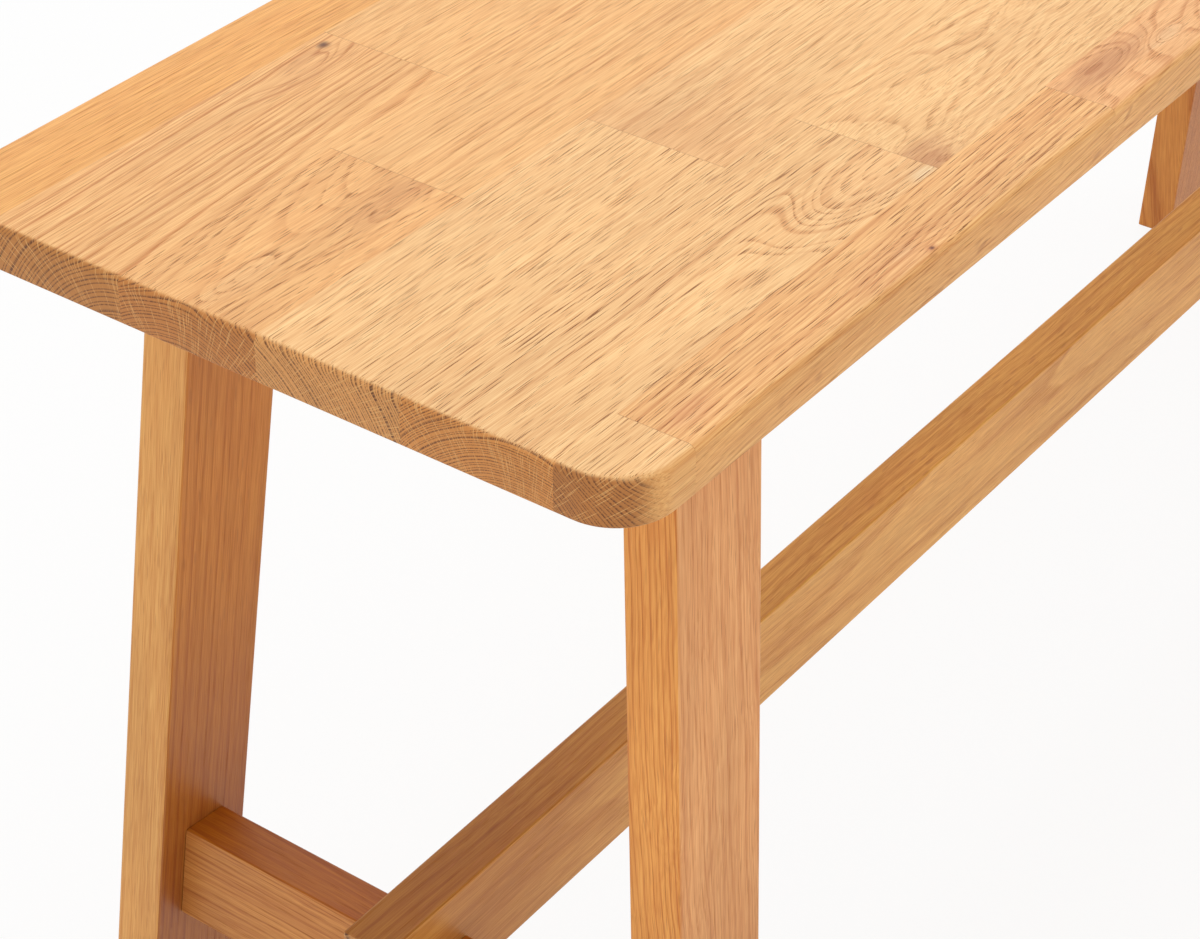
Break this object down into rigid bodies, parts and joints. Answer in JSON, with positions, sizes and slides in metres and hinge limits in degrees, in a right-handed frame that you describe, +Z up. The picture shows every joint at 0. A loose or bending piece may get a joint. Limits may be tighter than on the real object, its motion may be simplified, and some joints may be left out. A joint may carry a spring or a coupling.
{
  "type": "trestle bench",
  "caption": "Long wooden bench: a thin seat panel of glued staves on leaning trestles of splayed legs, tied low down by a half-lapped stretcher.",
  "frame": {"origin": "on the floor under the middle of the seat", "axes": "+X along the seat, +Y across it, +Z up"},
  "size_m": [1.06, 0.3076, 0.48],
  "materials": {
    "oak_seat_stave_1_1": "satin oiled oak, planed and sanded",
    "oak_seat_stave_1_2": "satin oiled oak, planed and sanded",
    "oak_seat_stave_1_3": "satin oiled oak, planed and sanded",
    "oak_seat_stave_1_4": "satin oiled oak, planed and sanded",
    "oak_seat_stave_1_5": "satin oiled oak, planed and sanded",
    "oak_seat_stave_2_1": "satin oiled oak, planed and sanded",
    "oak_seat_stave_2_2": "satin oiled oak, planed and sanded",
    "oak_seat_stave_2_3": "satin oiled oak, planed and sanded",
    "oak_seat_stave_2_4": "satin oiled oak, planed and sanded",
    "oak_seat_stave_3_1": "satin oiled oak, planed and sanded",
    "oak_seat_stave_3_2": "satin oiled oak, planed and sanded",
    "oak_seat_stave_3_3": "satin oiled oak, planed and sanded",
    "oak_seat_stave_3_4": "satin oiled oak, planed and sanded",
    "oak_seat_stave_4_1": "satin oiled oak, planed and sanded",
    "oak_seat_stave_4_2": "satin oiled oak, planed and sanded",
    "oak_seat_stave_4_3": "satin oiled oak, planed and sanded",
    "oak_seat_stave_4_4": "satin oiled oak, planed and sanded",
    "oak_seat_stave_4_5": "satin oiled oak, planed and sanded",
    "oak_seat_stave_5_1": "satin oiled oak, planed and sanded",
    "oak_seat_stave_5_2": "satin oiled oak, planed and sanded",
    "oak_seat_stave_5_3": "satin oiled oak, planed and sanded",
    "oak_seat_stave_5_4": "satin oiled oak, planed and sanded",
    "oak_seat_stave_6_1": "satin oiled oak, planed and sanded",
    "oak_seat_stave_6_2": "satin oiled oak, planed and sanded",
    "oak_seat_stave_6_3": "satin oiled oak, planed and sanded",
    "oak_seat_stave_6_4": "satin oiled oak, planed and sanded",
    "oak_leg_1_left": "satin oiled oak",
    "oak_leg_1_right": "satin oiled oak",
    "oak_leg_2_left": "satin oiled oak",
    "oak_leg_2_right": "satin oiled oak",
    "oak_lower_rail_1": "satin oiled oak",
    "oak_top_batten_1": "satin oiled oak",
    "oak_lower_rail_2": "satin oiled oak",
    "oak_top_batten_2": "satin oiled oak",
    "oak_stretcher": "satin oiled oak",
    "zinc_plated_bolt": "zinc plated",
    "zinc_plated_washer": "zinc plated",
    "zinc_plated_insert": "zinc plated",
    "zinc_plated_screw": "zinc plated"
  },
  "bodies": {
    "root": {"seat_stave_1_1": "oak_seat_stave_1_1", "seat_stave_1_2": "oak_seat_stave_1_2", "seat_stave_1_3": "oak_seat_stave_1_3", "seat_stave_1_4": "oak_seat_stave_1_4", "seat_stave_1_5": "oak_seat_stave_1_5", "seat_stave_2_1": "oak_seat_stave_2_1", "seat_stave_2_2": "oak_seat_stave_2_2", "seat_stave_2_3": "oak_seat_stave_2_3", "seat_stave_2_4": "oak_seat_stave_2_4", "seat_stave_3_1": "oak_seat_stave_3_1", "seat_stave_3_2": "oak_seat_stave_3_2", "seat_stave_3_3": "oak_seat_stave_3_3", "seat_stave_3_4": "oak_seat_stave_3_4", "seat_stave_4_1": "oak_seat_stave_4_1", "seat_stave_4_2": "oak_seat_stave_4_2", "seat_stave_4_3": "oak_seat_stave_4_3", "seat_stave_4_4": "oak_seat_stave_4_4", "seat_stave_4_5": "oak_seat_stave_4_5", "seat_stave_5_1": "oak_seat_stave_5_1", "seat_stave_5_2": "oak_seat_stave_5_2", "seat_stave_5_3": "oak_seat_stave_5_3", "seat_stave_5_4": "oak_seat_stave_5_4", "seat_stave_6_1": "oak_seat_stave_6_1", "seat_stave_6_2": "oak_seat_stave_6_2", "seat_stave_6_3": "oak_seat_stave_6_3", "seat_stave_6_4": "oak_seat_stave_6_4", "leg_1_left": "oak_leg_1_left", "leg_1_right": "oak_leg_1_right", "leg_2_left": "oak_leg_2_left", "leg_2_right": "oak_leg_2_right", "lower_rail_1": "oak_lower_rail_1", "top_batten_1": "oak_top_batten_1", "lower_rail_2": "oak_lower_rail_2", "top_batten_2": "oak_top_batten_2", "stretcher": "oak_stretcher", "seat_bolt_1_left": "zinc_plated_bolt", "bolt_washer_1_left": "zinc_plated_washer", "seat_insert_1_left": "zinc_plated_insert", "seat_bolt_1_right": "zinc_plated_bolt", "bolt_washer_1_right": "zinc_plated_washer", "seat_insert_1_right": "zinc_plated_insert", "lap_screw_1": "zinc_plated_screw", "seat_bolt_2_left": "zinc_plated_bolt", "bolt_washer_2_left": "zinc_plated_washer", "seat_insert_2_left": "zinc_plated_insert", "seat_bolt_2_right": "zinc_plated_bolt", "bolt_washer_2_right": "zinc_plated_washer", "seat_insert_2_right": "zinc_plated_insert", "lap_screw_2": "zinc_plated_screw"}
  },
  "joints": []
}
